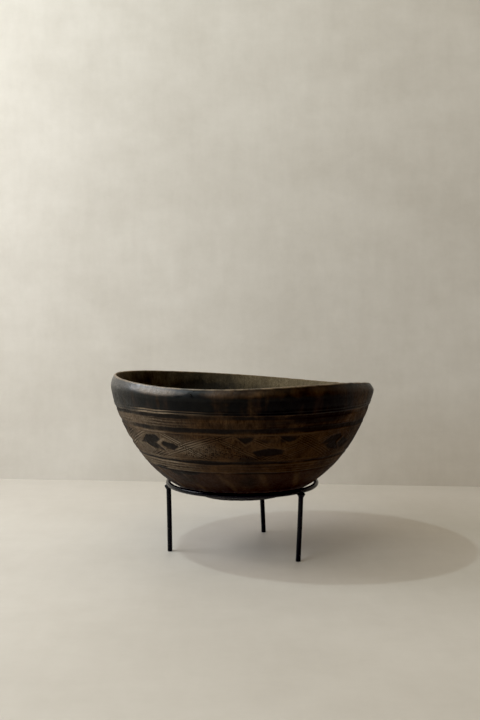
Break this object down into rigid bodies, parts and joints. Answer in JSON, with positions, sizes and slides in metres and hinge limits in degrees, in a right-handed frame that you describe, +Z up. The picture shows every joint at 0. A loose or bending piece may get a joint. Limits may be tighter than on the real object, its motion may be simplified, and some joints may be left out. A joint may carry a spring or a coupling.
{
  "type": "carved wooden bowl",
  "caption": "Round-bottomed carved wooden bowl with incised bands and an uneven rim, lifting off a black steel ring stand on rod legs.",
  "frame": {"origin": "on the floor, under the middle of the bowl's mouth", "axes": "+Z up; the front of the bowl, which faces the viewer, is towards -Y and its right side is towards +X"},
  "size_m": [0.326, 0.326, 0.2192],
  "materials": {
    "carved_wood": "dark oiled wood with smoke-blackened patina, worn paler along the rim",
    "black_painted_rod": "satin black paint",
    "black_painted_weld": "satin black paint over a rippled weld bead"
  },
  "bodies": {
    "stand": {"stand_ring": "black_painted_rod", "leg_left": "black_painted_rod", "leg_right": "black_painted_rod", "leg_back": "black_painted_rod", "weld_left": "black_painted_weld", "weld_right": "black_painted_weld", "weld_back": "black_painted_weld", "ring_seam_weld": "black_painted_weld"},
    "bowl": {"bowl": "carved_wood"}
  },
  "joints": [
    {"name": "bowl_lift", "type": "slide", "parent": "stand", "child": "bowl", "axis": [0, 0, 1], "range_m": [0, 0.12]}
  ]
}
